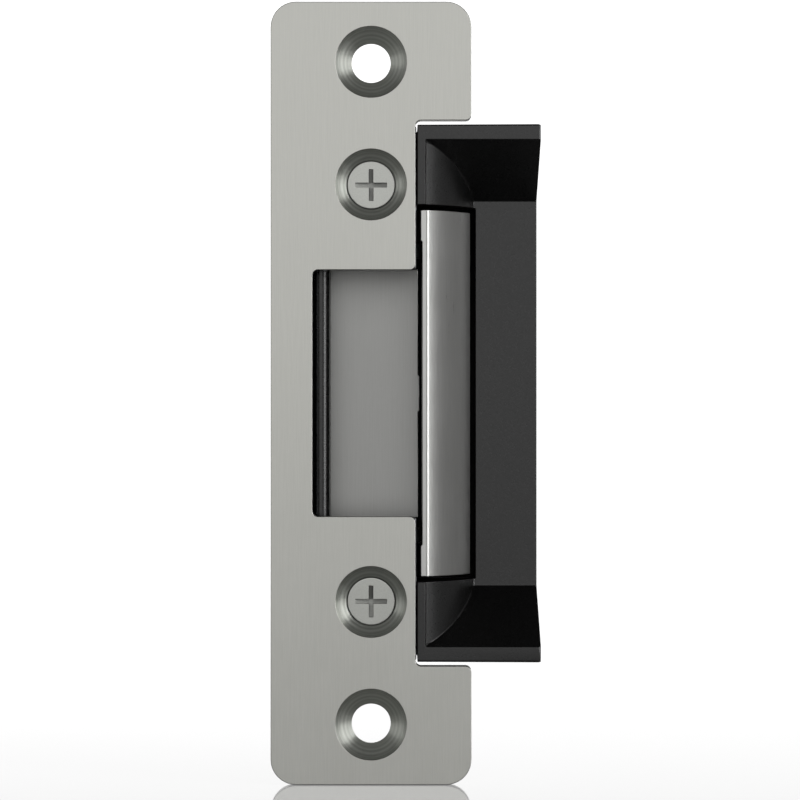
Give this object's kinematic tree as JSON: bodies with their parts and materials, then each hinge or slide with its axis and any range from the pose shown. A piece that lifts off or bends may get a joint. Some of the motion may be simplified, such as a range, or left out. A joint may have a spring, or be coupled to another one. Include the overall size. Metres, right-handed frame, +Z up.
{
  "type": "electric door strike",
  "caption": "Slim mortise electric strike: brushed faceplate with latch opening, sprung swinging keeper, black lip housing and a solenoid lock in a shallow case.",
  "frame": {"origin": "middle of the faceplate's outline, on the rear face that seats on the door frame", "axes": "+X across the faceplate towards the lip, +Y into the door frame, +Z up"},
  "size_m": [0.0428, 0.0356, 0.1238],
  "materials": {
    "faceplate_steel": "vertically brushed stainless steel",
    "keeper_steel": "polished and satin steel casting",
    "plate_screw_steel": "turned steel flat-head screw",
    "die_cast_black": "fine textured black finish on die-cast zinc",
    "liner_black": "black moulded nylon",
    "stop_steel": "satin steel sheet",
    "bumper_rubber": "black rubber",
    "case_zinc": "zinc-plated die casting",
    "cover_steel": "brushed steel sheet",
    "screw_zinc": "bright zinc-plated screw",
    "spring_steel": "drawn spring wire",
    "bobbin_nylon": "natural nylon",
    "copper_wire": "enamelled copper wire",
    "soft_iron": "turned soft iron, plated",
    "rod_brass": "drawn brass rod",
    "lock_steel": "sintered steel",
    "board_green": "green solder mask on glass laminate",
    "terminal_black": "black moulded plastic",
    "diode_black": "black moulded package with plated leads",
    "lead_red": "red wire sleeve",
    "lead_black": "black wire sleeve"
  },
  "bodies": {
    "strike_body": {"faceplate": "faceplate_steel", "faceplate_screw_top": "plate_screw_steel", "faceplate_screw_bottom": "plate_screw_steel", "lip_housing": "die_cast_black", "housing_screw_top": "screw_zinc", "housing_screw_bottom": "screw_zinc", "keeper_pin_top": "screw_zinc", "keeper_pin_bottom": "screw_zinc", "return_spring_top": "spring_steel", "return_spring_bottom": "spring_steel", "keeper_bumper_top": "bumper_rubber", "keeper_bumper_bottom": "bumper_rubber", "case_body": "case_zinc", "back_cover": "cover_steel", "cover_screw_1": "screw_zinc", "cover_screw_2": "screw_zinc", "cover_screw_3": "screw_zinc", "cover_screw_4": "screw_zinc", "latch_liner": "liner_black", "latch_stop_plate": "stop_steel", "solenoid_frame": "case_zinc", "solenoid_screw_top": "screw_zinc", "solenoid_screw_bottom": "screw_zinc", "coil_bobbin": "bobbin_nylon", "coil_winding": "copper_wire", "fixed_core": "soft_iron", "plunger_spring": "spring_steel", "lock_guide": "liner_black", "control_board": "board_green", "board_screw_left": "screw_zinc", "board_screw_right": "screw_zinc", "surge_diode": "diode_black", "terminal_block": "terminal_black", "terminal_screw_left": "screw_zinc", "terminal_screw_right": "screw_zinc", "coil_lead_plus": "lead_red", "coil_lead_minus": "lead_black"},
    "keeper": {"keeper": "keeper_steel"},
    "lock_plunger": {"plunger": "soft_iron", "plunger_clip": "spring_steel", "push_rod": "rod_brass", "lock_block": "lock_steel"}
  },
  "joints": [
    {"name": "keeper_swing", "type": "hinge", "parent": "strike_body", "child": "keeper", "pos_m": [-0.00164, 0.01268, 0], "axis": [0, 0, 1], "range_deg": [0, 42], "stiffness_Nm_per_rad": 0.05, "deforming": ["return_spring_top", "return_spring_bottom"]},
    {"name": "lock_slide", "type": "slide", "parent": "strike_body", "child": "lock_plunger", "axis": [0, 0, 1], "range_m": [0, 0.0045], "stiffness_N_per_m": 150, "springref_m": -0.002, "deforming": ["plunger_spring"]}
  ]
}
